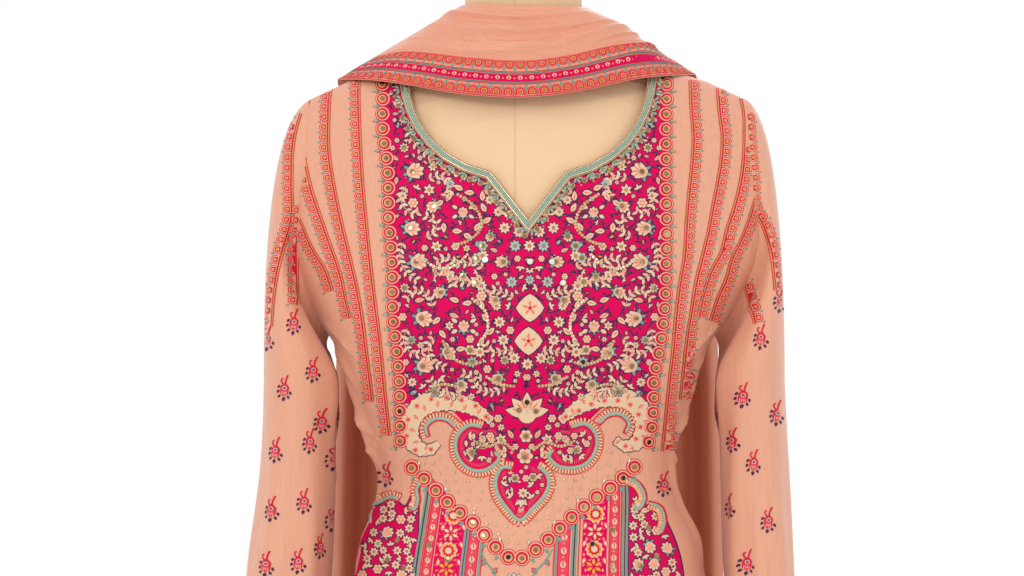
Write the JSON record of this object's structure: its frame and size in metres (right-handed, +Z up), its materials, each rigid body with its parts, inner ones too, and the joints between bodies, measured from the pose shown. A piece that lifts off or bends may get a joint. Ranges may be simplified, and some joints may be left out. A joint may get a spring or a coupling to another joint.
{
  "type": "salwar kameez suit on dress form",
  "caption": "Long-sleeved tunic with a scooped neck and corded yoke over tapered trousers, with a scarf across the neck and down the back, worn by a limbless dress form on a stand.",
  "frame": {"origin": "on the floor under the middle of the stand's round foot", "axes": "+Z up, -Y towards the garment's front, +X towards the right of the picture"},
  "size_m": [0.5156, 0.38, 1.53],
  "materials": {
    "peach_silk_printed": "satin",
    "peach_silk": "satin",
    "peach_silk_scarf": "satin",
    "mint_cord": "satin",
    "linen_jersey": "matte",
    "stand_steel": "satin"
  },
  "bodies": {
    "root": {"kameez_front": "peach_silk_printed", "kameez_back": "peach_silk", "neck_edging": "mint_cord", "sleeve_left": "peach_silk", "sleeve_right": "peach_silk", "dupatta_front": "peach_silk_scarf", "dupatta_fall_left": "peach_silk_scarf", "dupatta_fall_right": "peach_silk_scarf", "salwar_waistband": "peach_silk", "salwar_leg_left": "peach_silk", "salwar_leg_right": "peach_silk", "salwar_cuff_left": "peach_silk", "salwar_cuff_right": "peach_silk", "form_body": "linen_jersey", "stand_pole": "stand_steel", "stand_socket": "stand_steel", "stand_base": "stand_steel"}
  },
  "joints": []
}
